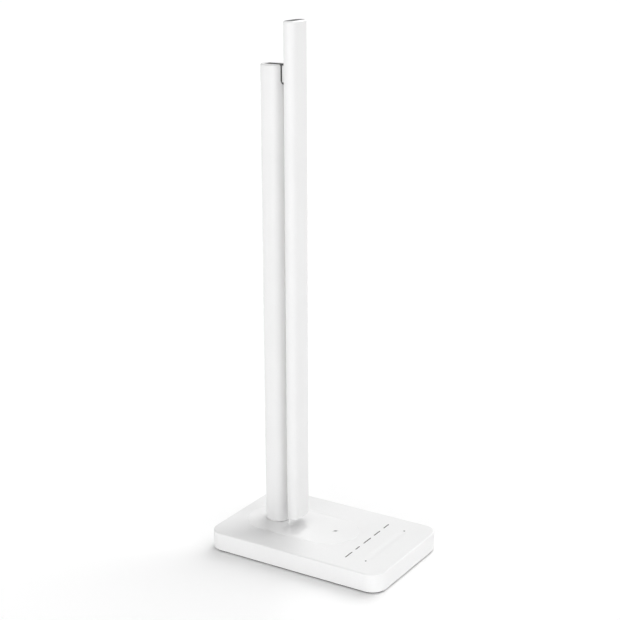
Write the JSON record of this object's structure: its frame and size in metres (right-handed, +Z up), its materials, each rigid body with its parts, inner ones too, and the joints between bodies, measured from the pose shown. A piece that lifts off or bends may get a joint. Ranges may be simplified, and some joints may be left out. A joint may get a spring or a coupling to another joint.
{
  "type": "folding desk lamp with wireless charging base",
  "caption": "Folding LED desk lamp: a flat light bar hinged to the top of an oval post that swivels on a rectangular base with a wireless charging pad.",
  "frame": {"origin": "centre of the base's footprint, on the surface that the lamp stands on", "axes": "+Z up along the post; +X from the post towards the touch controls at the base's front end; +Y across the base, to the left when looking along +X"},
  "size_m": [0.19, 0.121, 0.5042],
  "materials": {
    "white_shell": "fine matt moulded texture",
    "white_gloss": "polished",
    "print_grey": "printed mark",
    "black_plate": "moulded",
    "foot_rubber": "silicone mat",
    "steel": "zinc plated",
    "plain_steel": "cut sheet",
    "zinc": "die-cast zinc alloy",
    "zinc_white": "die-cast, painted",
    "bush_plastic": "acetal",
    "copper": "enamelled copper wire",
    "ferrite": "sintered",
    "circuit_board": "solder mask",
    "component_black": "moulded",
    "socket_metal": "stamped shell",
    "washer_dark": "sliding film",
    "white_metal": "satin powder coat",
    "lead_jacket": "jacketed lead",
    "block_white": "satin",
    "opal": "opal diffuser",
    "bare_aluminium": "mill finish",
    "white_board": "white solder mask",
    "led_yellow": "phosphor",
    "cap_grey": "moulded"
  },
  "bodies": {
    "base": {"base_shell": "white_shell", "charging_pad": "white_gloss", "charge_mark": "print_grey", "mode_marks": "print_grey", "slider_marks": "print_grey", "base_plate": "black_plate", "foot_pad": "foot_rubber", "base_screws": "steel", "ballast_plate": "plain_steel", "post_mount": "zinc", "mount_screws": "steel", "swivel_bush": "bush_plastic", "charging_coil": "copper", "coil_ferrite": "ferrite", "touch_board": "circuit_board", "main_board": "circuit_board", "board_components": "component_black", "board_screws": "steel", "power_socket": "socket_metal"},
    "post": {"swivel_washer": "bush_plastic", "spindle_spring": "steel", "spindle_nut": "steel", "post_tube": "white_metal", "post_yoke": "zinc_white", "post_foot": "zinc", "post_lead": "lead_jacket", "slot_liner": "washer_dark", "hinge_pin": "steel"},
    "head": {"hinge_block": "block_white", "hinge_plate": "plain_steel", "block_screws": "steel", "bar_housing": "white_metal", "diffuser": "opal", "heat_spreader": "bare_aluminium", "led_board": "white_board", "led_chips": "led_yellow", "end_cap_bottom": "cap_grey", "end_cap_top": "cap_grey"}
  },
  "joints": [
    {"name": "post_swivel", "type": "hinge", "parent": "base", "child": "post", "pos_m": [-0.053, 0, 0.0195], "axis": [0, 0, 1], "range_deg": [-90, 90]},
    {"name": "head_fold", "type": "hinge", "parent": "post", "child": "head", "pos_m": [-0.051, 0, 0.456], "axis": [0, -1, 0], "range_deg": [0, 90]}
  ]
}
